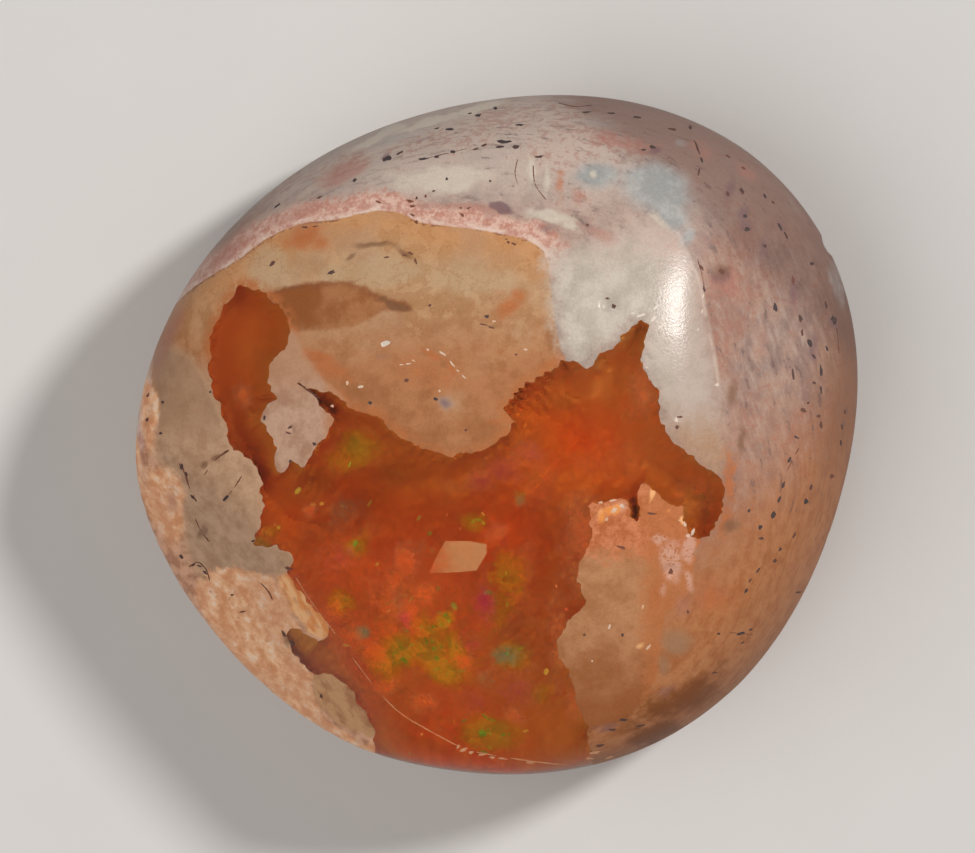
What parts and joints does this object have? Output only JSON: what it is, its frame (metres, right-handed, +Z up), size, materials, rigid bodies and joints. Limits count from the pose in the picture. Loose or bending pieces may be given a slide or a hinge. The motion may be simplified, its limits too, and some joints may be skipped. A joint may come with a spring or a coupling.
{
  "type": "mexican fire opal",
  "caption": "Polished free-form stone with a clear orange fire opal window in pink-grey rhyolite matrix, flat-backed so it rests face up or can be set as a cabochon.",
  "frame": {"origin": "middle of the flat back, under the middle of the stone's box", "axes": "+Z up out of the back through the domed face, +X along the stone's longer side, +Y along its shorter side; the opal window looks up and a little towards +X and +Y, and its opal runs out over the stone's edge at -Y"},
  "size_m": [0.0218, 0.0204, 0.0103],
  "materials": {
    "matrix": "satin",
    "fire_opal": "polished"
  },
  "bodies": {
    "root": {"matrix": "matrix", "fire_opal": "fire_opal"}
  },
  "joints": []
}
